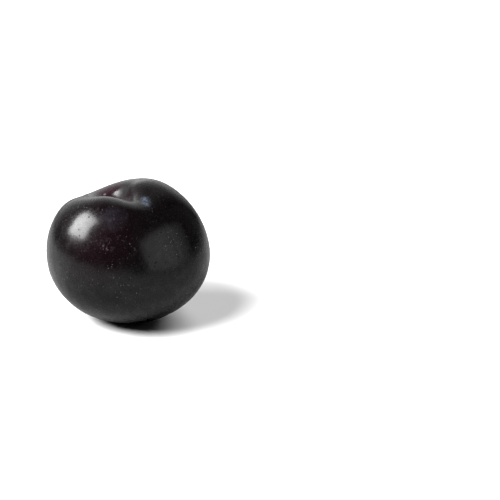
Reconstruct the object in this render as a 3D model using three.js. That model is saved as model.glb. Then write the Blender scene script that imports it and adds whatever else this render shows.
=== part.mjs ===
// A whole, ripe black plum with its short woody stalk.
// Millimetres, +Z up. The origin is the middle of the small flat spot that the fruit rests on.
// +X is the side its seam runs down, and its two lobes lie to either side, along +Y and -Y.

import * as THREE from 'three';
import { mergeVertices } from 'three/addons/utils/BufferGeometryUtils.js';

// ---- driving dimensions ---------------------------------------------------------------

const BODY = {
  along: 34.7,        // half width in the plane of the seam
  across: 30.9,       // half width across the two lobes
  top: 31.9,          // from the widest level up to the shoulders, before they are pressed in
  bottom: 26.2,       // from the widest level down to the blossom end
  lobeRise: 0.7,      // the +Y lobe stands this much above the middle, the -Y lobe below it
};

const HOLLOW = {      // the oval hollow that the stalk stands in, off the middle, away from the seam
  depth: 13.9,
  seamward: 9.5,      // its radius towards the seam
  backward: 6.8,      // its radius away from the seam
  across: 4.6,        // its radius towards the lobes
  steepness: 2.1,
  x: -4.5,
  y: 0.6,
};

const SEAM = {        // the groove that runs from the hollow down the +X side
  depth: 4.5,
  width: 8.5,
  y: -0.8,
  angle: 15.8,        // degrees from the stem axis, where it is deepest
  reach: 18.4,        // and over which it fades
  sideDepth: 0.25,
  sideWidth: 8.6,
};

const SADDLE = {      // the wide dip between the lobes on the side away from the seam
  depth: 8.1,
  width: 12.3,
  y: 0.8,
  angle: 19.4,
  reach: 23.5,
};

const MERGE = 3.2;    // half the width, along X, over which the seam's side becomes the saddle's

const LEAN = {        // the fruit leans a little on its round underside
  degrees: 7.3,
  towards: -93,       // degrees from +X towards +Y
};

const FLAT_DEPTH = 0.5;   // how far the weight presses the underside flat

const STALK = {
  length: 8.3,
  foot: 1.15,         // radius just above the rounded foot
  waist: 0.95,
  tip: 1.75,          // radius of the flared end where it parted from the twig
  footGap: 0.6,       // left between the foot and the floor of the hollow
  bendX: -0.9,        // how far the tip stands from over the foot
  bendY: -1.3,
  slant: 0.3,         // how steeply the parted end is cut
};

const FRUIT_RINGS = 60;
const FRUIT_SEGMENTS = 72;
const RING_BIAS = 1.3;    // more rings near the stalk, where the skin curves most
const STALK_SEGMENTS = 16;

// ---- the skin -------------------------------------------------------------------------

const bell = (value, width) => Math.exp(-((value / width) ** 2));

/** A point of the skin of the upright fruit; t runs from the stalk (0) to the blossom end (PI). */
function skinPoint(t, phi) {
  const s = Math.sin(t);
  const c = Math.cos(t);
  const p = new THREE.Vector3(
    BODY.along * s * Math.cos(phi),
    BODY.across * s * Math.sin(phi),
    (c > 0 ? BODY.top : BODY.bottom) * c,
  );
  const along = p.x > HOLLOW.x ? HOLLOW.seamward : HOLLOW.backward;
  const fromHollow = Math.hypot((p.x - HOLLOW.x) / along, (p.y - HOLLOW.y) / HOLLOW.across);
  p.z += BODY.lobeRise * (p.y / BODY.across) * Math.max(0, c);

  // the seam and the saddle are pressed in towards the middle of the fruit
  const degrees = THREE.MathUtils.radToDeg(t);
  const dip = ({ depth, width, y, angle, reach }) =>
    depth * bell(degrees - angle, reach) * bell(p.y - y, width);
  const onSeamSide = 1 / (1 + Math.exp(-p.x / MERGE));
  const seam = dip(SEAM) + SEAM.sideDepth * s * bell(p.y, SEAM.sideWidth);
  const pressed = seam * onSeamSide + dip(SADDLE) * (1 - onSeamSide);
  p.multiplyScalar(1 - pressed / p.length());

  if (c > 0) p.z -= HOLLOW.depth * Math.exp(-(fromHollow ** HOLLOW.steepness));
  return p;
}

// ---- the lean and the resting spot ----------------------------------------------------

const leanTowards = THREE.MathUtils.degToRad(LEAN.towards);
const leanAxis = new THREE.Vector3(-Math.sin(leanTowards), Math.cos(leanTowards), 0);
const lean = new THREE.Quaternion().setFromAxisAngle(leanAxis, THREE.MathUtils.degToRad(LEAN.degrees));

/** The lowest point of the leaning skin between two angles from the stem axis, on a fine grid. */
function lowestPoint(from, to) {
  const steps = 240;
  let lowest = new THREE.Vector3(0, 0, Infinity);
  for (let i = 0; i <= steps; i++) {
    for (let j = 0; j < 2 * steps; j++) {
      const t = from + (to - from) * (i / steps);
      const p = skinPoint(t, (Math.PI * j) / steps).applyQuaternion(lean);
      if (p.z < lowest.z) lowest = p;
    }
  }
  return lowest;
}

const restsOn = lowestPoint(0.75 * Math.PI, Math.PI);

/** Leans a point of the upright fruit and puts it in the part's frame. */
function settle(p) {
  p.applyQuaternion(lean).sub(restsOn);
  p.z -= FLAT_DEPTH;
  return p;
}

// ---- the pieces -----------------------------------------------------------------------

function fruitGeometry() {
  const ball = new THREE.SphereGeometry(1, FRUIT_SEGMENTS, FRUIT_RINGS);
  const position = ball.attributes.position;
  const columns = FRUIT_SEGMENTS + 1;
  for (let i = 0; i < position.count; i++) {
    const ring = Math.floor(i / columns);
    const column = i % columns;
    // each pole is a single point, and the last column closes on the first
    const pole = ring === 0 || ring === FRUIT_RINGS;
    const turn = pole ? 0 : (column % FRUIT_SEGMENTS) / FRUIT_SEGMENTS;
    const p = settle(skinPoint(Math.PI * (ring / FRUIT_RINGS) ** RING_BIAS, 2 * Math.PI * turn));
    position.setXYZ(i, p.x, p.y, Math.max(0, p.z));
  }
  ball.deleteAttribute('normal');
  ball.deleteAttribute('uv');
  return mergeVertices(ball, 1e-4);
}

/** The stalk, its foot at the origin: a lathed peg, then bent over and cut on the slant. */
function stalkGeometry() {
  const { length, foot, waist, tip } = STALK;
  const profile = [
    [0, 0], [0.55 * foot, 0.12], [0.9 * foot, 0.45], [foot, 1.0],
    [waist, 0.25 * length], [waist, 0.5 * length], [1.15 * waist, 0.68 * length],
    [0.8 * tip, 0.82 * length], [tip, 0.93 * length], [0.9 * tip, length], [0, length],
  ].map(([radius, height]) => new THREE.Vector2(radius, height));
  const peg = new THREE.LatheGeometry(profile, STALK_SEGMENTS).rotateX(Math.PI / 2);
  const position = peg.attributes.position;
  for (let i = 0; i < position.count; i++) {
    const p = new THREE.Vector3().fromBufferAttribute(position, i);
    const up = p.z / length;
    const slanted = p.z + STALK.slant * p.x * THREE.MathUtils.smoothstep(up, 0.7, 1);
    position.setXYZ(i, p.x + STALK.bendX * up ** 1.4, p.y + STALK.bendY * up ** 1.4, slanted);
  }
  peg.deleteAttribute('normal');
  peg.deleteAttribute('uv');
  return mergeVertices(peg, 1e-4);
}

// ---- the scene graph ------------------------------------------------------------------

const plum = new THREE.Group();

const fruit = new THREE.Mesh(
  fruitGeometry(),
  new THREE.MeshStandardMaterial({ color: 0x1d1013, roughness: 0.25, metalness: 0 }),
);
fruit.name = 'fruit';
plum.add(fruit);

const stalk = new THREE.Mesh(
  stalkGeometry(),
  new THREE.MeshStandardMaterial({ color: 0x6b4423, roughness: 0.8, metalness: 0 }),
);
stalk.name = 'stalk';
stalk.position.copy(lowestPoint(0, 0.1 * Math.PI)).sub(restsOn);
stalk.position.z += STALK.footGap - FLAT_DEPTH;
plum.add(stalk);

export default plum;
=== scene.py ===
"""A whole black plum with its short woody stalk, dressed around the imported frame.

Metres, +Z up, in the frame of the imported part: the fruit rests on the origin, its seam runs down
the +X side, and its two lobes lie along +Y and -Y.
"""

import logging
import math
from dataclasses import dataclass, field
from enum import Enum
from typing import Union

import bpy
import numpy as np
from bpy.types import ID, Material, Node, NodeSocket, NodeTree, Object
from mathutils import Matrix, Quaternion, Vector


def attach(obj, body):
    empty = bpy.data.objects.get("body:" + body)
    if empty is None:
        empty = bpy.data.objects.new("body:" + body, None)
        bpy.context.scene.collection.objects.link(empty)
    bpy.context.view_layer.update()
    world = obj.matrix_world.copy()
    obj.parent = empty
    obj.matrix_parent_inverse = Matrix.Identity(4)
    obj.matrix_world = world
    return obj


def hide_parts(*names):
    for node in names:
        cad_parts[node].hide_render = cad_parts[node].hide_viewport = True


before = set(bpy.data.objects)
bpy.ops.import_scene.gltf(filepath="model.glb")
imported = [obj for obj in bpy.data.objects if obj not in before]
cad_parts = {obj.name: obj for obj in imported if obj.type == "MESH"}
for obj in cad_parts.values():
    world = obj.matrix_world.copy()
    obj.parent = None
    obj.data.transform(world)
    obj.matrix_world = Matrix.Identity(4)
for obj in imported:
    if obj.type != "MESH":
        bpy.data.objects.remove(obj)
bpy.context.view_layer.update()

MM = 0.001

log = logging.getLogger("plum")

Array = np.ndarray
Span = tuple[float, float]
Place = tuple[float, float, float]
Colour = tuple[float, float, float]
Operand = Union["Wire", int, float]
Tint = Union["Wire", Colour]

BLACK: Colour = (0.0, 0.0, 0.0)
WHITE: Colour = (1.0, 1.0, 1.0)


# ---- numbers ----


def bell(value: Array, width: float) -> Array:
    """A smooth bump of height 1 at zero.

    Args:
        value: Distances from the middle of the bump.
        width: Distance at which it has fallen to 1/e.

    Returns:
        The height at each distance.
    """
    return np.exp(-((value / width) ** 2))


def ease(value: Array, start: float, end: float) -> Array:
    """A smooth step from 0 at start to 1 at end, which may be the lower of the two.

    Args:
        value: Where to read the step.
        start: Where it leaves 0.
        end: Where it reaches 1.

    Returns:
        The step at each value.
    """
    share = np.clip((value - start) / (end - start), 0.0, 1.0)
    return share * share * (3.0 - 2.0 * share)


# ---- node trees ----


class Attribute(Enum):
    """What the meshes carry at each vertex for their finishes."""

    FROM_STALK = "from_stalk"
    UP = "up"
    PARTED_END = "parted_end"


class Wire:
    """An output socket that sums can be written on: each operator or method adds a node."""

    def __init__(self, graph: "Graph", socket: NodeSocket) -> None:
        """Wraps an output socket of a graph."""
        self.graph = graph
        self.socket = socket

    def _math(self, operation: str, *values: Operand) -> "Wire":
        """Adds a Math node on some values and wraps its result."""
        inputs = dict(enumerate(values))
        return self.graph.add("ShaderNodeMath", {"operation": operation}, inputs).out()

    def __add__(self, other: Operand) -> "Wire":
        """self + other."""
        return self._math("ADD", self, other)

    __radd__ = __add__

    def __sub__(self, other: Operand) -> "Wire":
        """self - other."""
        return self._math("SUBTRACT", self, other)

    def __rsub__(self, other: Operand) -> "Wire":
        """other - self."""
        return self._math("SUBTRACT", other, self)

    def __mul__(self, other: Operand) -> "Wire":
        """self * other."""
        return self._math("MULTIPLY", self, other)

    __rmul__ = __mul__

    def __truediv__(self, other: Operand) -> "Wire":
        """self / other."""
        return self._math("DIVIDE", self, other)

    def __rtruediv__(self, other: Operand) -> "Wire":
        """other / self."""
        return self._math("DIVIDE", other, self)

    def __pow__(self, other: Operand) -> "Wire":
        """self ** other."""
        return self._math("POWER", self, other)

    def ease(self, start: float, end: float) -> "Wire":
        """A smooth step from 0 at start to 1 at end, which may be the lower of the two.

        Args:
            start: The value where the step leaves 0.
            end: The value where it reaches 1.

        Returns:
            The step.
        """
        settings = {"interpolation_type": "SMOOTHSTEP"}
        low, high = min(start, end), max(start, end)
        to_low, to_high = (0.0, 1.0) if start < end else (1.0, 0.0)
        inputs = {0: self, 1: low, 2: high, 3: to_low, 4: to_high}
        return self.graph.add("ShaderNodeMapRange", settings, inputs).out()

    def between(self, low: float, high: float) -> "Wire":
        """Low where self is 0, high where it is 1."""
        return self * (high - low) + low

    def mix(self, first: Tint, second: Tint) -> "Wire":
        """The first colour where self is 0, the second where it is 1."""
        settings = {"data_type": "RGBA", "blend_type": "MIX", "clamp_factor": True}
        return self.graph.add("ShaderNodeMix", settings, {0: self, 6: first, 7: second}).out(2)

    def scaled(self, scale: Place) -> "Wire":
        """Coordinates, multiplied by a number along each axis."""
        return self.graph.add("ShaderNodeMapping", {}, {"Vector": self, "Scale": scale}).out()

    def _vector_math(self, operation: str, vector: Place) -> "Added":
        """Adds a Vector Math node on coordinates and a fixed vector."""
        return self.graph.add("ShaderNodeVectorMath", {"operation": operation}, {0: self, 1: vector})

    def distance(self, point: Place) -> "Wire":
        """How far coordinates are from a point."""
        return self._vector_math("DISTANCE", point).out("Value")

    def measured_from(self, point: Place) -> "Wire":
        """Coordinates, with a point as their new origin."""
        return self._vector_math("SUBTRACT", point).out()

    def along(self, axis: Place) -> "Wire":
        """How far coordinates lie along an axis."""
        return self._vector_math("DOT_PRODUCT", axis).out("Value")

    def noise(self, size: float, detail: float, roughness: float = 0.5) -> "Wire":
        """Soft noise around one half, on coordinates.

        Args:
            size: The size of its largest features.
            detail: How many finer layers it has.
            roughness: How strong those are.

        Returns:
            The noise.
        """
        inputs = {"Vector": self, "Scale": 1.0 / size, "Detail": detail, "Roughness": roughness}
        return self.graph.add("ShaderNodeTexNoise", {}, inputs).out()


class Added:
    """A node that has been added to a graph."""

    def __init__(self, graph: "Graph", node: Node) -> None:
        """Wraps a node of a graph."""
        self.graph = graph
        self.node = node

    def out(self, name: Union[str, int] = 0) -> Wire:
        """One of its output sockets, by name or number."""
        return Wire(self.graph, self.node.outputs[name])


class Graph:
    """A node tree that is built up from Python expressions."""

    def __init__(self, tree: NodeTree) -> None:
        """Empties a node tree and takes it over."""
        self.tree = tree
        tree.nodes.clear()

    def add(self, kind: str, settings: dict | None = None, inputs: dict | None = None) -> Added:
        """Adds one node.

        Args:
            kind: The node's type.
            settings: Its properties, which are set first.
            inputs: A value or a Wire for each socket, by name or number.

        Returns:
            The node.
        """
        node = self.tree.nodes.new(kind)
        for name, value in (settings or {}).items():
            setattr(node, name, value)
        for name, value in (inputs or {}).items():
            socket = node.inputs[name]
            if isinstance(value, Wire):
                self.tree.links.new(value.socket, socket)
            elif isinstance(value, tuple) and len(value) == 3 and socket.type == "RGBA":
                socket.default_value = (*value, 1.0)
            else:
                socket.default_value = value
        return Added(self, node)

    def place(self) -> Wire:
        """The object's own coordinates, in metres."""
        return self.add("ShaderNodeTexCoord").out("Object")

    def millimetres(self) -> Wire:
        """The object's own coordinates, in millimetres."""
        return self.place().scaled((1.0 / MM, 1.0 / MM, 1.0 / MM))

    def attribute(self, name: Attribute) -> Wire:
        """A number that the mesh carries at each vertex."""
        settings = {"attribute_type": "GEOMETRY", "attribute_name": name.value}
        return self.add("ShaderNodeAttribute", settings).out("Fac")

    def bump(self, height: Wire, strength: float) -> Wire:
        """The normal of low relief, from its height in millimetres."""
        inputs = {"Strength": strength, "Distance": MM, "Height": height}
        return self.add("ShaderNodeBump", {}, inputs).out()

    def surface(self, inputs: dict) -> None:
        """Ends a material's tree with a Principled shader that has some sockets set or linked."""
        shader = self.add("ShaderNodeBsdfPrincipled", {}, inputs)
        self.add("ShaderNodeOutputMaterial", {}, {"Surface": shader.out()})

    def matt(self, colour: Tint) -> None:
        """Ends a material's tree with a matt surface without any shine."""
        self.surface({"Base Color": colour, "Roughness": 0.9, "Specular IOR Level": 0.0})


def new_material(name: str) -> tuple[Material, Graph]:
    """Adds a material with an empty node tree.

    Args:
        name: The material's name.

    Returns:
        The material, and the graph to build its tree with.
    """
    material = bpy.data.materials.new(name)
    material.use_nodes = True
    return material, Graph(material.node_tree)


# ---- finishes ----


@dataclass(frozen=True)
class Patch:
    """A round patch of the skin: its middle, and how far it reaches, in millimetres."""

    middle: Place
    reach: float

    def on(self, where: Wire) -> Wire:
        """1 at the middle of the patch, fading to 0 at its edge."""
        return where.distance(self.middle).ease(self.reach, 0.0)


@dataclass(frozen=True)
class Dots:
    """Small round dots all over the skin, some strong and most of them faint, in millimetres."""

    spacing: float
    share: float  # a dot's radius, as a share of the spacing

    def on(self, where: Wire) -> Wire:
        """How strong the dot at a place is, 0 between the dots.

        Args:
            where: Coordinates in millimetres.

        Returns:
            The strength.
        """
        settings = {"feature": "F1", "distance": "EUCLIDEAN"}
        inputs = {"Vector": where, "Scale": 1.0 / self.spacing, "Randomness": 1.0}
        cells = where.graph.add("ShaderNodeTexVoronoi", settings, inputs)
        parts = where.graph.add("ShaderNodeSeparateColor", {}, {"Color": cells.out("Color")})
        chosen = parts.out("Red")
        return cells.out("Distance").ease(self.share, 0.4 * self.share) * chosen.ease(0.1, 1.0)


@dataclass(frozen=True)
class SkinMap:
    """What lies where on the skin: each wire but the first carries a share from 0 to 1."""

    where: Wire
    mottle: Wire
    grain: Wire
    pores: Wire
    top: Wire
    in_hollow: Wire
    spots: Wire
    pits: Wire
    blush: Wire
    flush: Wire
    haze: Wire
    frost: Wire
    dry: Wire


@dataclass(frozen=True)
class Skin:
    """Nearly black, waxy plum skin with pale breathing spots and a trace of bloom.

    Burgundy shows in the blush, and the hollow's wall is flushed. The haze is thin wax, the frost
    what is left of the bloom, and the scuff a rub of pale strokes. A single pale speck on the hollow's
    far wall is a painted glint.
    """

    black: Colour = (0.0012, 0.0010, 0.0012)
    burgundy: Colour = (0.0052, 0.0008, 0.0022)
    hollow: Colour = (0.0340, 0.0120, 0.0190)
    bloom: Colour = (0.1000, 0.1300, 0.1850)
    wax: Colour = (0.1400, 0.1450, 0.1900)
    spot: Colour = (0.2600, 0.2300, 0.2300)

    blush: Patch = Patch((13.0, -23.5, 40.0), 24.0)
    flush: Patch = Patch((-13.5, 3.0, 49.5), 10.0)
    haze: Patch = Patch((14.6, -16.6, 48.0), 7.5)
    scuff: Patch = Patch((18.2, -22.0, 38.9), 3.8)
    frost: tuple[Patch, ...] = (
        Patch((12.8, 0.0, 51.8), 3.0),
        Patch((15.2, -0.9, 51.4), 4.0),
        Patch((17.6, -2.4, 50.8), 3.6),
    )
    dry: Patch = Patch((-5.0, 4.4, 50.5), 5.5)
    # a painted glint: one pale speck on the hollow's far wall, laid on with the breathing spots
    painted_glint: Patch = Patch((-13.3, 0.6, 47.7), 0.9)
    spots: Dots = Dots(0.95, 0.20)
    pits: Dots = Dots(1.60, 0.28)
    hollow_edge: Span = (11.0, 4.0)  # from the stalk: where the hollow's look starts and is full
    strokes: Place = (1.0, 1.0, 0.22)  # draws the scratches and streaks out down the fruit
    top_blush: float = 0.12
    haze_strength: float = 0.07
    dry_strength: float = 0.02
    bloom_strength: float = 0.65
    spot_strength: float = 0.5

    wave_size: float = 6.0
    patch_size: float = 14.0
    mottle_size: float = 3.5
    pore_size: float = 1.5
    grain_size: float = 0.45
    wave_height: float = 0.030
    mottle_height: float = 0.039
    pore_height: float = 0.008
    grain_height: float = 0.0025
    spot_height: float = 0.02
    pit_depth: float = 0.07

    ior: float = 1.36
    roughness: float = 0.19
    mottle_roughness: float = 0.08
    grain_roughness: float = 0.10
    hollow_roughness: float = 0.10
    spot_roughness: float = 0.3
    pit_roughness: float = 0.5
    dry_roughness: float = 0.5
    coat_ior: float = 1.36
    coat_roughness: float = 0.29
    coat_weight: float = 0.48

    def material(self) -> Material:
        """The skin's material."""
        material, graph = new_material("plum_skin")
        skin = self._map(graph)
        roughness, coat = self._gloss(skin)
        graph.surface({
            "Base Color": self._colour(skin),
            "Roughness": roughness,
            "IOR": self.ior,
            "Coat Weight": coat,
            "Coat Roughness": self.coat_roughness,
            "Coat IOR": self.coat_ior,
            "Normal": graph.bump(self._height(skin), 1.0),
        })
        return material

    def _map(self, graph: Graph) -> SkinMap:
        """Works out what lies where on the skin.

        Args:
            graph: The material's graph.

        Returns:
            The map.
        """
        where = graph.millimetres()
        up = graph.attribute(Attribute.UP)
        mottle = where.noise(self.mottle_size, 4.0, 0.6)
        grain = where.noise(self.grain_size, 2.0)
        pores = where.noise(self.pore_size, 3.0, 0.6)
        in_hollow = graph.attribute(Attribute.FROM_STALK).ease(*self.hollow_edge)
        drawn_out = where.scaled(self.strokes)
        scratches = drawn_out.noise(0.8, 3.0, 0.6).ease(0.54, 0.64)
        streaks = drawn_out.noise(1.0, 4.0, 0.7).ease(0.36, 0.66)

        # the breathing spots stand in loose groups, and thin out towards the blossom end
        groups = where.noise(self.patch_size, 3.0).ease(0.40, 0.62).between(0.1, 1.0)
        spots = self.spots.on(where) * groups * up.ease(-0.7, 0.1).between(0.3, 1.0)
        scuff = self.scuff.on(where) * scratches
        frost = (sum(patch.on(where) for patch in self.frost) * pores).ease(0.15, 0.95)
        return SkinMap(
            where=where,
            mottle=mottle,
            grain=grain,
            pores=pores,
            top=up.ease(0.1, 0.5),
            in_hollow=in_hollow,
            # the spots also carry the painted glint and the scuff's strokes
            spots=spots + self.painted_glint.on(where) + scuff * 0.5,
            pits=self.pits.on(where).ease(0.35, 0.8),
            blush=self.blush.on(where) * streaks.between(0.3, 1.0),
            flush=in_hollow * 0.2 + self.flush.on(where) * 0.45,
            haze=self.haze.on(where) * mottle.ease(0.35, 0.65).between(0.4, 1.0),
            frost=frost * grain.ease(0.42, 0.60).between(0.3, 1.0),
            dry=self.dry.on(where),
        )

    def _colour(self, skin: SkinMap) -> Wire:
        """Lays the colours over each other, from black up to the pale spots.

        Args:
            skin: What lies where.

        Returns:
            The colour.
        """
        colour = (skin.blush + skin.top * self.top_blush).mix(self.black, self.burgundy)
        colour = skin.flush.mix(colour, self.hollow)
        waxed = skin.haze * self.haze_strength + skin.dry * self.dry_strength
        colour = waxed.mix(colour, self.wax)
        colour = (skin.frost * self.bloom_strength).mix(colour, self.bloom)
        return (skin.spots * self.spot_strength).mix(colour, self.spot)

    def _gloss(self, skin: SkinMap) -> tuple[Wire, Wire]:
        """How dull the skin is, and how much softly shining wax lies on it.

        Args:
            skin: What lies where.

        Returns:
            The roughness and the coat's weight.
        """
        # the noise is centred on the plain roughness
        plain = self.roughness - (self.mottle_roughness + self.grain_roughness) / 2.0
        roughness = skin.mottle * self.mottle_roughness + skin.grain * self.grain_roughness + plain
        roughness = roughness + skin.spots * self.spot_roughness + skin.pits * self.pit_roughness
        roughness = roughness + skin.in_hollow * self.hollow_roughness + skin.dry * self.dry_roughness
        coat = skin.grain.ease(0.35, 0.65).between(0.3, 1.0)
        coat = coat * skin.mottle.ease(0.3, 0.7).between(0.4, 1.6)
        coat = coat * (1.0 - skin.pits) * (1.0 - skin.in_hollow * 0.7)
        return roughness, coat * self.coat_weight + skin.frost * 0.5

    def _height(self, skin: SkinMap) -> Wire:
        """The relief that is too low for the mesh.

        Args:
            skin: What lies where.

        Returns:
            The height, in millimetres.
        """
        return (
            skin.where.noise(self.wave_size, 1.0) * self.wave_height
            + skin.mottle * self.mottle_height
            + skin.pores * self.pore_height
            + skin.grain * self.grain_height
            + skin.spots * self.spot_height
            - skin.pits * self.pit_depth
        )


@dataclass(frozen=True)
class Bark:
    """Dry brown bark of the stalk, streaked along its length."""

    brown: Colour = (0.105, 0.048, 0.020)
    tan: Colour = (0.260, 0.130, 0.058)
    pith: Colour = (0.270, 0.175, 0.090)
    roughness: float = 0.72
    streak_roughness: float = 0.2
    strokes: Place = (900.0, 900.0, 220.0)  # how finely they are drawn on each axis, per metre
    streak_size: float = 0.5
    fleck_size: float = 0.35
    streak_height: float = 0.12
    fleck_height: float = 0.05

    def material(self) -> Material:
        """The bark's material."""
        material, graph = new_material("stalk_bark")
        drawn_out = graph.place().scaled(self.strokes)
        streaks = drawn_out.noise(self.streak_size, 4.0, 0.65)
        flecks = graph.millimetres().noise(self.fleck_size, 3.0, 0.6)
        end = graph.attribute(Attribute.PARTED_END)
        colour = streaks.ease(0.35, 0.65).mix(self.brown, self.tan)
        colour = (flecks.ease(0.55, 0.75) * 0.5).mix(colour, self.brown)
        colour = (end * flecks.ease(0.25, 0.6)).mix(colour, self.pith)
        height = streaks * self.streak_height + flecks * self.fleck_height
        plain = self.roughness - self.streak_roughness / 2.0
        graph.surface({
            "Base Color": colour,
            "Roughness": streaks * self.streak_roughness + plain,
            "Normal": graph.bump(height, 0.9),
        })
        return material


@dataclass(frozen=True)
class Sweep:
    """The matt white of the studio's floor."""

    white: Colour = (0.92, 0.92, 0.92)

    def material(self) -> Material:
        """The floor's material."""
        material, graph = new_material("white_sweep")
        graph.matt(self.white)
        return material


# ---- modelling helpers ----


def only(piece: Object) -> None:
    """Makes one object the only selected one, and the active one.

    Args:
        piece: The object.
    """
    bpy.ops.object.select_all(action="DESELECT")
    piece.select_set(True)
    bpy.context.view_layer.objects.active = piece


class Vertex(Enum):
    """The vectors that each vertex of a mesh has."""

    PLACE = "co"
    NORMAL = "normal"


def read(piece: Object, which: Vertex) -> Array:
    """Reads a vector at each vertex of a mesh.

    Args:
        piece: The object.
        which: The vector.

    Returns:
        One row for each vertex.
    """
    flat = np.empty(len(piece.data.vertices) * 3)
    piece.data.vertices.foreach_get(which.value, flat)
    return flat.reshape(-1, 3)


def move_to(piece: Object, points: Array) -> None:
    """Moves a mesh's vertices to new places."""
    piece.data.vertices.foreach_set("co", points.ravel())
    piece.data.update()


def carry(piece: Object, name: Attribute, values: Array) -> None:
    """Stores a number at each vertex of a mesh, for its finish."""
    attribute = piece.data.attributes.new(name.value, "FLOAT", "POINT")
    attribute.data.foreach_set("value", values.astype(np.float32))


@dataclass(frozen=True)
class Ripple:
    """Soft, irregular waves: how long one is, and how high from trough to crest, in metres."""

    name: str
    size: float
    height: float

    def raise_on(self, piece: Object) -> None:
        """Raises the waves on a mesh.

        Args:
            piece: The object.
        """
        texture = bpy.data.textures.new(self.name, "CLOUDS")
        texture.noise_scale = self.size
        texture.noise_depth = 1
        modifier = piece.modifiers.new(self.name, "DISPLACE")
        modifier.texture = texture
        modifier.texture_coords = "LOCAL"
        modifier.strength = self.height
        modifier.mid_level = 0.5
        only(piece)
        bpy.ops.object.modifier_apply(modifier=self.name)


def smooth(piece: Object) -> None:
    """Shades a mesh smoothly all over."""
    only(piece)
    bpy.ops.object.shade_smooth()


# ---- the fruit ----


@dataclass(frozen=True)
class Dip:
    """A long dip that is pressed into the top of the fruit, in millimetres and degrees."""

    depth: float
    width: float
    y: float
    angle: float  # from the stem axis, where it is deepest
    reach: float  # the angle over which it fades

    def at(self, tilt: Array, y: Array) -> Array:
        """How deep the dip is at an angle from the stalk and a distance from the seam's plane."""
        return self.depth * bell(np.degrees(tilt) - self.angle, self.reach) * bell(y - self.y, self.width)


@dataclass(frozen=True)
class Form:
    """The fruit's form in millimetres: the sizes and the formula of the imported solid."""

    along: float = 34.7  # half its width in the plane of the seam
    across: float = 30.9  # half its width across the lobes
    top: float = 31.9  # from the widest level up to the shoulders, before they are pressed in
    bottom: float = 26.2  # from the widest level down to the blossom end
    lobe_rise: float = 0.7  # of the +Y lobe above the middle, and of the -Y lobe below it
    hollow_depth: float = 13.9
    hollow_seamward: float = 9.5
    hollow_backward: float = 6.8
    hollow_across: float = 4.6
    hollow_steepness: float = 2.1
    hollow_at: Span = (-4.5, 0.6)
    seam: Dip = Dip(depth=4.5, width=8.5, y=-0.8, angle=15.8, reach=18.4)
    seam_side_depth: float = 0.25
    seam_side_width: float = 8.6
    saddle: Dip = Dip(depth=8.1, width=12.3, y=0.8, angle=19.4, reach=23.5)
    merge: float = 3.2  # half the width over which the seam's side becomes the saddle's
    lean_degrees: float = 7.3
    lean_towards: float = -93.0  # degrees from +X towards +Y
    flat_depth: float = 0.5  # how far its weight presses the underside flat
    underside: Span = (0.75 * math.pi, math.pi)  # from the stem axis
    floor: Span = (0.0, 0.1 * math.pi)  # the hollow's, from the stem axis

    def plan(self, tilt: Array, turn: Array) -> tuple[Array, Array]:
        """Where points of the upright fruit stand in plan, before it is pressed in.

        Args:
            tilt: Angles from the stalk, in radians.
            turn: Angles around the stalk, in radians from the seam.

        Returns:
            Their x and y.
        """
        radius = np.sin(tilt)
        return self.along * radius * np.cos(turn), self.across * radius * np.sin(turn)

    def from_hollow(self, x: Array, y: Array) -> Array:
        """How far places in plan are from the middle of the hollow.

        Args:
            x: Their x.
            y: Their y.

        Returns:
            The distances, as shares of the hollow's radius.
        """
        middle_x, middle_y = self.hollow_at
        along = np.where(x > middle_x, self.hollow_seamward, self.hollow_backward)
        return np.hypot((x - middle_x) / along, (y - middle_y) / self.hollow_across)

    def upright(self, tilt: Array, turn: Array) -> Array:
        """Points of the skin of the upright fruit.

        Args:
            tilt: Angles from the stalk, in radians.
            turn: Angles around the stalk, in radians from the seam.

        Returns:
            One row for each point.
        """
        x, y = self.plan(tilt, turn)
        c = np.cos(tilt)
        z = np.where(c > 0, self.top, self.bottom) * c
        z = z + self.lobe_rise * (y / self.across) * np.maximum(0.0, c)
        on_seam_side = 1.0 / (1.0 + np.exp(-x / self.merge))
        side = self.seam_side_depth * np.sin(tilt) * bell(y, self.seam_side_width)
        pressed = (self.seam.at(tilt, y) + side) * on_seam_side
        pressed = pressed + self.saddle.at(tilt, y) * (1.0 - on_seam_side)
        kept = 1.0 - pressed / np.sqrt(x * x + y * y + z * z)
        sunk = self.hollow_depth * np.exp(-(self.from_hollow(x, y) ** self.hollow_steepness))
        return np.stack([x * kept, y * kept, z * kept - np.where(c > 0, sunk, 0.0)], axis=-1)

    def lean(self) -> Array:
        """The turn that leans the upright fruit, as a matrix of three rows."""
        towards = math.radians(self.lean_towards)
        axis = Vector((-math.sin(towards), math.cos(towards), 0.0))
        return np.array(Matrix.Rotation(math.radians(self.lean_degrees), 3, axis))

    def lowest(self, within: Span) -> Array:
        """Finds the lowest point of the leaning skin.

        Args:
            within: The two angles from the stem axis to look between, in radians.

        Returns:
            The point, in millimetres.
        """
        least, most = within
        steps = 240
        tilt, turn = np.meshgrid(
            least + (most - least) * np.arange(steps + 1) / steps,
            math.pi * np.arange(2 * steps) / steps,
        )
        points = self.upright(tilt.ravel(), turn.ravel()) @ self.lean().T
        return points[points[:, 2].argmin()]

    def rests_on(self) -> Array:
        """Where the origin lies in the frame of the leaning fruit, in millimetres."""
        return self.lowest(self.underside) + np.array([0.0, 0.0, self.flat_depth])

    def settled(self, upright: Array) -> Array:
        """Leans points of the upright fruit and puts them in the part's frame, in metres."""
        return (upright @ self.lean().T - self.rests_on()) * MM

    def hollow_floor(self) -> Vector:
        """The floor of the hollow, which the stalk grows from, in the part's frame."""
        return Vector((self.lowest(self.floor) - self.rests_on()) * MM)


@dataclass(frozen=True)
class Ring:
    """A low ring on the skin around a middle, in millimetres; without a radius it is a spot."""

    height: float
    radius: float
    width: float

    def at(self, away: Array) -> Array:
        """Its height at each distance from the middle."""
        return self.height * bell(away - self.radius, self.width)


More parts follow.
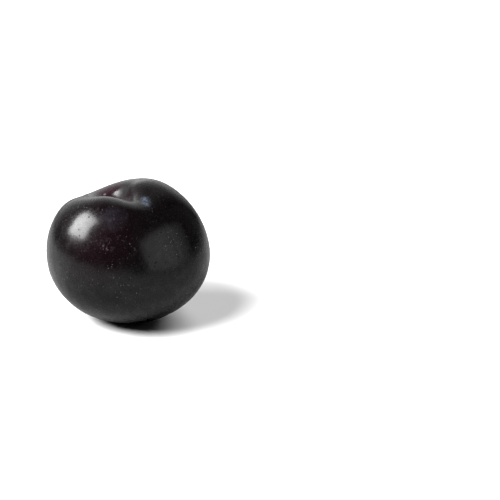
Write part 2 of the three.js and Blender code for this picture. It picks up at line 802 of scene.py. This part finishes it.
@dataclass
class Fruit:
    """The fruit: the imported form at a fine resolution, with the relief of its skin.

    A fine line wanders down the seam. Pleats and a collar lie around the foot of the stalk. The
    blossom end is a pucker with creases around it and a dry point in it.
    """

    form: Form = field(default_factory=Form)
    cuts: int = 109
    crowding: float = 0.70  # draws the mesh towards the stalk, where the skin curves most
    crowding_reach: float = 0.45
    line_depth: float = 0.06
    line_width: float = 0.70
    line_waves: tuple[Span, ...] = ((0.5, 5.0), (0.2, 13.0))  # the height and number of each
    line_wanders: Span = (8.0, 20.0)  # from the stem axis, where it begins to wander
    line_starts: Span = (5.0, 11.0)  # from the stem axis, outside the hollow
    line_ends: Span = (3.1, 2.8)  # its angles from the stalk, in radians
    pleats: Ring = Ring(height=0.14, radius=3.4, width=1.7)
    pleat_count: float = 15.0
    collar: Ring = Ring(height=-0.35, radius=1.75, width=0.40)
    pucker: Ring = Ring(height=-1.0, radius=0.0, width=2.2)
    dry_point: Ring = Ring(height=0.45, radius=0.0, width=0.5)
    creases: Ring = Ring(height=0.10, radius=2.4, width=1.1)
    crease_count: float = 9.0
    waves: tuple[Ripple, ...] = (
        Ripple("broad_waves", size=0.016, height=0.00030),
        Ripple("narrow_waves", size=0.005, height=0.00004),
    )

    def build(self) -> Object:
        """Models the fruit.

        Returns:
            The finished object, in the part's frame.
        """
        piece = self._ball()
        directions = read(piece, Vertex.PLACE)
        directions /= np.linalg.norm(directions, axis=1, keepdims=True)
        even = np.arccos(np.clip(directions[:, 2], -1.0, 1.0))
        tilt = even * (1.0 - self.crowding * bell(even, self.crowding_reach))
        turn = np.arctan2(directions[:, 1], directions[:, 0])
        upright = self.form.upright(tilt, turn)
        move_to(piece, upright)
        relief = self._relief(tilt, turn)
        upright = upright + read(piece, Vertex.NORMAL) * relief[:, None]
        move_to(piece, self.form.settled(upright))
        for ripple in self.waves:
            ripple.raise_on(piece)
        self._rest(piece)
        self._mark(piece, tilt, turn)
        smooth(piece)
        return piece

    def _ball(self) -> Object:
        """Makes a ball of even squares from a finely divided cube.

        Returns:
            The ball, which is still to be shaped.
        """
        bpy.ops.object.select_all(action="DESELECT")
        bpy.ops.mesh.primitive_cube_add(size=2.0)
        piece = bpy.context.object
        piece.name = "plum_fruit"
        bpy.ops.object.mode_set(mode="EDIT")
        bpy.ops.mesh.select_all(action="SELECT")
        bpy.ops.mesh.subdivide(number_cuts=self.cuts)
        bpy.ops.transform.tosphere(value=1.0)
        bpy.ops.object.mode_set(mode="OBJECT")
        return piece

    def _relief(self, tilt: Array, turn: Array) -> Array:
        """How far the skin stands proud of the plain form.

        Args:
            tilt: Angles from the stalk, in radians.
            turn: Angles around the stalk, in radians from the seam.

        Returns:
            The heights in millimetres, below zero in a groove.
        """
        x, y = self.form.plan(tilt, turn)
        from_axis = np.hypot(x, y)
        middle_x, middle_y = self.form.hollow_at
        from_stalk = np.hypot(x - middle_x, y - middle_y)
        around = np.arctan2(y - middle_y, x - middle_x)
        wander = sum(height * np.sin(number * tilt) for height, number in self.line_waves)
        line = bell(y - wander * ease(from_axis, *self.line_wanders), self.line_width)
        line = line * (x > 0) * ease(from_axis, *self.line_starts) * ease(tilt, *self.line_ends)
        # the pleats are neither evenly spaced nor equally high
        folds = np.cos(self.pleat_count * around + 1.5 * np.sin(3.0 * around + 0.7))
        folds = folds * (0.7 + 0.3 * np.sin(2.0 * around + 1.1))
        hollow = folds * self.pleats.at(from_stalk) + self.collar.at(from_stalk)
        blossom = self.pucker.at(from_axis) + self.dry_point.at(from_axis)
        blossom = blossom + np.cos(self.crease_count * turn) * self.creases.at(from_axis)
        ends = np.where(np.cos(tilt) > 0, hollow, blossom)
        return ends - self.line_depth * line

    def _rest(self, piece: Object) -> None:
        """Presses the underside flat where the fruit rests.

        Args:
            piece: The fruit.
        """
        points = read(piece, Vertex.PLACE)
        points[:, 2] = np.maximum(points[:, 2], 0.0)
        move_to(piece, points)

    def _mark(self, piece: Object, tilt: Array, turn: Array) -> None:
        """Stores what the skin's finish reads at each vertex.

        Args:
            piece: The fruit.
            tilt: Angles from the stalk, in radians.
            turn: Angles around the stalk, in radians from the seam.
        """
        radius = (self.form.hollow_backward + self.form.hollow_across) / 2.0
        away = self.form.from_hollow(*self.form.plan(tilt, turn)) * radius
        # the lower half counts as far from the stalk, although it lies under it
        far = 99.0
        from_stalk = np.where(np.cos(tilt) > 0, away, far)
        carry(piece, Attribute.FROM_STALK, from_stalk)
        carry(piece, Attribute.UP, np.cos(tilt))


# ---- the stalk ----


@dataclass
class Stalk:
    """The short woody stalk: a ridged peg with a flared, slanted end, in millimetres."""

    foot_at: Vector  # the floor of the hollow, in metres
    length: float = 8.3
    root: float = 1.2  # how far it goes on under the skin
    bend: Span = (-0.9, -1.3)  # how far the tip stands from over the foot, along X and Y
    bow: float = 1.4  # 1 would be a straight slope
    slant: float = 0.3
    slanted: Span = (0.7, 1.0)  # the shares of the length over which the slant takes hold
    sides: int = 30
    rings: tuple[Span, ...] = (  # the share of the length, and the radius there
        (0.00, 1.60), (0.04, 1.28), (0.12, 1.05), (0.25, 0.95), (0.40, 0.93), (0.55, 0.98),
        (0.68, 1.15), (0.78, 1.45), (0.87, 1.70), (0.94, 1.78), (0.98, 1.68), (1.00, 1.52),
    )
    end_steps: tuple[Span, ...] = ((0.35, -0.22), (0.45, 0.10), (0.40, 0.0))  # inwards, then up
    end_starts: Span = (0.955, 0.985)
    end_rim: Span = (1.55, 1.35)
    ridges: tuple[Place, ...] = ((0.05, 7.0, 2.0), (0.03, 12.0, -3.0))  # height, number, twist
    ridged: Span = (0.5, 0.9)  # the radii over which the ridges grow
    lumps: Ripple = Ripple("bark_lumps", size=0.0007, height=0.00016)

    def build(self) -> Object:
        """Models the stalk.

        Returns:
            The finished object, in the part's frame.
        """
        piece = self._peg()
        self._sink_end()
        rounding = piece.modifiers.new("rounding", "SUBSURF")
        rounding.levels = 2
        rounding.render_levels = 2
        only(piece)
        bpy.ops.object.modifier_apply(modifier=rounding.name)
        self._ridge_and_bend(piece)
        self.lumps.raise_on(piece)
        smooth(piece)
        return piece

    def _peg(self) -> Object:
        """Draws a round peg out ring by ring from its root.

        Returns:
            The upright peg, with its tip selected.
        """
        bpy.ops.object.select_all(action="DESELECT")
        height, radius = -self.root, self.rings[0][1]
        bpy.ops.mesh.primitive_circle_add(vertices=self.sides, radius=radius * MM, fill_type="NGON")
        piece = bpy.context.object
        piece.name = "plum_stalk"
        bpy.ops.object.mode_set(mode="EDIT")
        bpy.ops.mesh.select_all(action="SELECT")
        bpy.ops.transform.translate(value=(0.0, 0.0, height * MM))
        for share, wide in self.rings:
            rise = share * self.length - height
            lift = {"value": (0.0, 0.0, rise * MM)}
            bpy.ops.mesh.extrude_region_move(TRANSFORM_OT_translate=lift)
            bpy.ops.transform.resize(value=(wide / radius, wide / radius, 1.0))
            height, radius = share * self.length, wide
        bpy.ops.object.mode_set(mode="OBJECT")
        return piece

    def _sink_end(self) -> None:
        """Sinks the middle of the selected tip, where the stalk parted from the twig."""
        bpy.ops.object.mode_set(mode="EDIT")
        for inwards, lift in self.end_steps:
            bpy.ops.mesh.inset(thickness=inwards * MM)
            bpy.ops.transform.translate(value=(0.0, 0.0, lift * MM))
        bpy.ops.mesh.select_all(action="SELECT")
        bpy.ops.mesh.normals_make_consistent(inside=False)
        bpy.ops.object.mode_set(mode="OBJECT")

    def _ridge_and_bend(self, piece: Object) -> None:
        """Raises the bark's ridges, bends the peg, slants its end and puts it in place.

        Args:
            piece: The upright peg.
        """
        points = read(piece, Vertex.PLACE) / MM
        share = points[:, 2] / self.length
        radius = np.hypot(points[:, 0], points[:, 1])
        turn = np.arctan2(points[:, 1], points[:, 0])
        ridges = sum(tall * np.cos(many * turn + twist * share) for tall, many, twist in self.ridges)
        grown = 1.0 + ridges * ease(radius, *self.ridged)
        carry(piece, Attribute.PARTED_END, ease(share, *self.end_starts) * ease(radius, *self.end_rim))
        over = np.sign(share) * np.abs(share) ** self.bow
        points[:, 0] = points[:, 0] * grown + self.bend[0] * over
        points[:, 1] = points[:, 1] * grown + self.bend[1] * over
        points[:, 2] = points[:, 2] + self.slant * points[:, 0] * ease(share, *self.slanted)
        move_to(piece, points * MM + np.array(self.foot_at))


# ---- the studio ----


def add_object(name: str, data: ID) -> Object:
    """Adds a lamp or a camera to the scene.

    Args:
        name: What it is called.
        data: Its light or its lens.

    Returns:
        The object, at the origin.
    """
    thing = bpy.data.objects.new(name, data)
    bpy.context.scene.collection.objects.link(thing)
    return thing


@dataclass(frozen=True)
class Shot:
    """The camera: how it looks at the fruit, and where in its picture the fruit falls."""

    azimuth: float = 47.3  # degrees round from -Y towards +X
    elevation: float = 18.9
    distance: float = 0.468
    lens: float = 85.0  # millimetres, as the sensor is
    sensor: float = 36.0
    picture: float = 500.0  # its width in pixels
    aim: Place = (0.00023, 0.00119, 0.028)
    aim_pixel: Span = (128.1, 248.7)  # where the aim falls, from the upper left corner

    def right(self) -> Vector:
        """The level direction to the camera's right."""
        a = math.radians(self.azimuth)
        return Vector((math.cos(a), math.sin(a), 0.0))

    def ahead(self) -> Vector:
        """The level direction away from the camera."""
        a = math.radians(self.azimuth)
        return Vector((-math.sin(a), math.cos(a), 0.0))

    def towards(self, side: float, height: float) -> Vector:
        """Which way a lamp lies, seen from the fruit.

        Args:
            side: Degrees round to the camera's right; 0 is at the camera, 180 behind the fruit.
            height: Degrees above the floor.

        Returns:
            A unit vector towards the lamp.
        """
        s, h = math.radians(side), math.radians(height)
        level = self.right() * math.sin(s) - self.ahead() * math.cos(s)
        return level * math.cos(h) + Vector((0.0, 0.0, math.sin(h)))

    def build(self) -> Object:
        """Adds the camera and makes it the scene's own.

        Returns:
            The camera.
        """
        back = self.towards(0.0, self.elevation)
        right = self.right()
        up = back.cross(right)
        focal = self.picture * self.lens / self.sensor
        across = (self.aim_pixel[0] - self.picture / 2.0) / focal
        down = (self.aim_pixel[1] - self.picture / 2.0) / focal
        offset = (right * across - up * down - back) * self.distance
        data = bpy.data.cameras.new("camera")
        data.lens = self.lens
        data.sensor_width = self.sensor
        data.clip_start = 0.01
        camera = add_object("camera", data)
        camera.location = Vector(self.aim) - offset
        camera.rotation_euler = (math.radians(90.0 - self.elevation), 0.0, math.radians(self.azimuth))
        bpy.context.scene.camera = camera
        return camera


@dataclass(frozen=True)
class Stand:
    """What stands around the fruit: degrees to the camera's right, and above the floor."""

    name: str
    side: float
    height: float


@dataclass(frozen=True)
class SoftBox(Stand):
    """A soft box, in metres; its roll is in degrees."""

    distance: float
    width: float
    tall: float
    radiance: float
    roll: float

    def build(self, shot: Shot, middle: Vector) -> Object:
        """Adds the soft box.

        Args:
            shot: The camera that its place is measured from.
            middle: The point that it shines at.

        Returns:
            The lamp.
        """
        data = bpy.data.lights.new(self.name, "AREA")
        data.shape = "RECTANGLE"
        data.size = self.width
        data.size_y = self.tall
        data.energy = self.radiance * math.pi * self.width * self.tall
        lamp = add_object(self.name, data)
        towards = shot.towards(self.side, self.height)
        lamp.location = middle + towards * self.distance
        rolled = Quaternion((0.0, 0.0, 1.0), math.radians(self.roll))
        lamp.rotation_euler = (towards.to_track_quat("Z", "Y") @ rolled).to_euler()
        lamp.visible_camera = False
        return lamp


@dataclass(frozen=True)
class Sun(Stand):
    """Broad light from very far, which doesn't show in what the fruit reflects."""

    spread: float
    energy: float

    def build(self, shot: Shot) -> Object:
        """Adds the light.

        Args:
            shot: The camera that its place is measured from.

        Returns:
            The lamp.
        """
        data = bpy.data.lights.new(self.name, "SUN")
        data.energy = self.energy
        data.angle = math.radians(self.spread)
        lamp = add_object(self.name, data)
        towards = shot.towards(self.side, self.height)
        lamp.rotation_euler = towards.to_track_quat("Z", "Y").to_euler()
        lamp.visible_glossy = False
        return lamp


def add_plane(name: str, size: float) -> Object:
    """Adds a flat square, as a piece of the studio.

    Args:
        name: What it is called.
        size: Its width, in metres.

    Returns:
        The object.
    """
    bpy.ops.object.select_all(action="DESELECT")
    bpy.ops.mesh.primitive_plane_add(size=size)
    plane = bpy.context.object
    plane.name = name
    return plane


def keep_to_reflections(plane: Object) -> None:
    """Lets a piece of the studio show only in what the fruit reflects."""
    for rays in ("camera", "diffuse", "shadow"):
        setattr(plane, f"visible_{rays}", False)


@dataclass(frozen=True)
class Panel(Stand):
    """A dimly lit wall with soft edges, seen only in what the fruit reflects, in metres."""

    distance: float
    width: float
    tall: float
    radiance: float
    soft_sides: Span  # how much of each half fades out, at its own -X side and its +X side
    soft_ends: Span  # the same, at its lower and its upper end

    def build(self, shot: Shot, middle: Vector) -> Object:
        """Adds the panel.

        Args:
            shot: The camera that its place is measured from.
            middle: The point that it faces.

        Returns:
            The panel.
        """
        panel = add_plane(self.name, 1.0)
        towards = shot.towards(self.side, self.height)
        centre = middle + towards * self.distance
        turn = np.array(towards.to_track_quat("Z", "Y").to_matrix())
        points = read(panel, Vertex.PLACE) * np.array([self.width, self.tall, 1.0])
        move_to(panel, points @ turn.T + np.array(centre))
        panel.data.materials.append(self._material(turn, centre))
        keep_to_reflections(panel)
        return panel

    def _material(self, turn: Array, centre: Vector) -> Material:
        """Mixes a light that fades towards the panel's edges.

        Args:
            turn: How the panel is turned; its columns are the panel's own axes.
            centre: Its middle.

        Returns:
            The panel's material.
        """
        material, graph = new_material(self.name)
        place = graph.place().measured_from(tuple(centre))
        light: Operand = self.radiance
        across = (turn[:, 0], self.width / 2.0, self.soft_sides)
        upwards = (turn[:, 1], self.tall / 2.0, self.soft_ends)
        for axis, half, (low, high) in (across, upwards):
            along = place.along(tuple(float(part) for part in axis))
            light = along.ease(-half, half * (low - 1.0)) * light
            light = along.ease(half, half * (1.0 - high)) * light
        graph.surface({
            "Base Color": BLACK,
            "Specular IOR Level": 0.0,
            "Emission Color": light.mix(BLACK, WHITE),
            "Emission Strength": 1.0,
        })
        return material


@dataclass(frozen=True)
class Card:
    """A flat grey card just above the floor, seen only in what the fruit reflects, in metres."""

    name: str
    grey: float
    grey_far: float
    fade: float  # how far from the brightest point of its painted pool of light it has fallen half way
    kept_behind: float  # how much of the grey is kept behind the fruit
    behind: Span  # how far beyond the fruit that starts, and where all of it is kept
    kept_in_painted_shade: float  # how much of the grey is kept in the painted shade under the fruit
    under: float  # how far that painted shade reaches
    painted_pool_left: float  # how far to the camera's left its painted pool of light is brightest
    size: float
    level: float

    def build(self, shot: Shot) -> Object:
        """Adds the card.

        Args:
            shot: The camera, which the card lies square to.

        Returns:
            The card.
        """
        card = add_plane(self.name, self.size)
        points = read(card, Vertex.PLACE)
        points[:, 2] = self.level
        turn = np.array(Matrix.Rotation(math.radians(shot.azimuth), 3, "Z"))
        move_to(card, points @ turn.T)
        card.data.materials.append(self._material(shot))
        keep_to_reflections(card)
        return card

    def _material(self, shot: Shot) -> Material:
        """Mixes a matt grey: painted light that is brightest near the fruit and darkens away from it,
        painted shade under the fruit, and a darker grey behind it.

        Args:
            shot: The camera, whose side of the fruit is the bright one.

        Returns:
            The card's material.
        """
        material, graph = new_material(self.name)
        place = graph.place()
        beyond = place.along(tuple(shot.ahead()))
        away = place.distance(tuple(shot.right() * -self.painted_pool_left))
        # painted pool of light: brightest near the fruit, a little to the camera's left, fading away from
        # it
        grey = (self.grey - self.grey_far) / ((away / self.fade) ** 2.0 + 1.0) + self.grey_far
        grey = grey * beyond.ease(*self.behind).between(self.kept_behind, 1.0)
        # painted shade under the fruit
        grey = grey * away.ease(0.0, self.under).between(self.kept_in_painted_shade, 1.0)
        graph.matt(grey.mix(BLACK, WHITE))
        return material


@dataclass
class Studio:
    """A white sweep lit from the left, a dim reflector at the right and a dim wall behind."""

    shot: Shot = Shot()
    middle: Place = (0.0, 0.0, 0.028)
    floor_size: float = 12.0
    room: float = 0.060  # how bright the room is in what the fruit reflects
    card: Card = Card(
        "grey_card", grey=0.295, grey_far=0.03, fade=0.38, kept_behind=0.90, behind=(0.10, -0.02),
        kept_in_painted_shade=0.73, under=0.07, painted_pool_left=0.02, size=6.0, level=0.0006,
    )
    key: SoftBox = SoftBox(
        "key_softbox", side=-92.0, height=32.0, distance=0.62, width=0.31, tall=0.285,
        radiance=16.0, roll=16.0,
    )
    panels: tuple[Panel, ...] = (
        Panel(
            "fill_reflector", side=62.0, height=18.0, distance=0.80, width=1.56, tall=1.10,
            radiance=1.0, soft_sides=(0.25, 1.2), soft_ends=(0.25, 0.35),
        ),
        Panel(
            "back_wall", side=-165.0, height=24.0, distance=1.50, width=3.10, tall=3.40,
            radiance=0.88, soft_sides=(1.0, 1.2), soft_ends=(0.6, 1.4),
        ),
    )
    suns: tuple[Sun, ...] = (
        Sun("front", side=-50.0, height=48.0, spread=31.0, energy=5.2),
        Sun("back", side=140.0, height=45.0, spread=50.0, energy=2.6),
    )

    def build(self) -> None:
        """Adds all that stands around the fruit, the room's light and the camera."""
        middle = Vector(self.middle)
        floor = add_plane("studio_floor", self.floor_size)
        floor.data.materials.append(Sweep().material())
        self.card.build(self.shot)
        self.key.build(self.shot, middle)
        for panel in self.panels:
            panel.build(self.shot, middle)
        for sun in self.suns:
            sun.build(self.shot)
        self._light_room()
        self.shot.build()
        bpy.context.scene.view_settings.view_transform = "Standard"

    def _light_room(self) -> None:
        """Lights the room: dim in what the fruit reflects, white past the edge of the floor."""
        world = bpy.data.worlds.new("room")
        bpy.context.scene.world = world
        world.use_nodes = True
        graph = Graph(world.node_tree)
        straight = graph.add("ShaderNodeLightPath").out("Is Camera Ray")
        inputs = {"Color": WHITE, "Strength": straight.between(self.room, 1.0)}
        light = graph.add("ShaderNodeBackground", {}, inputs)
        graph.add("ShaderNodeOutputWorld", {}, {"Surface": light.out()})
        world.cycles_visibility.diffuse = False


# ---- the whole ----


def dress(piece: Object, node: str, material: Material) -> None:
    """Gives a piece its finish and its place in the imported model.

    Args:
        piece: The finished piece.
        node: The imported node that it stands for.
        material: Its material.
    """
    piece.data.materials.clear()
    piece.data.materials.append(material)
    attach(piece, "root")
    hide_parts(node)
    log.info("%s: %d faces, stands for %s", piece.name, len(piece.data.polygons), node)


def main() -> None:
    """Builds the plum and its studio."""
    logging.basicConfig(level=logging.INFO, format="%(name)s: %(message)s")
    log.info("frame: %s", ", ".join(sorted(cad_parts)))
    form = Form()
    dress(Fruit(form).build(), "fruit", Skin().material())
    dress(Stalk(form.hollow_floor()).build(), "stalk", Bark().material())
    Studio().build()


if __name__ == "__main__":
    main()
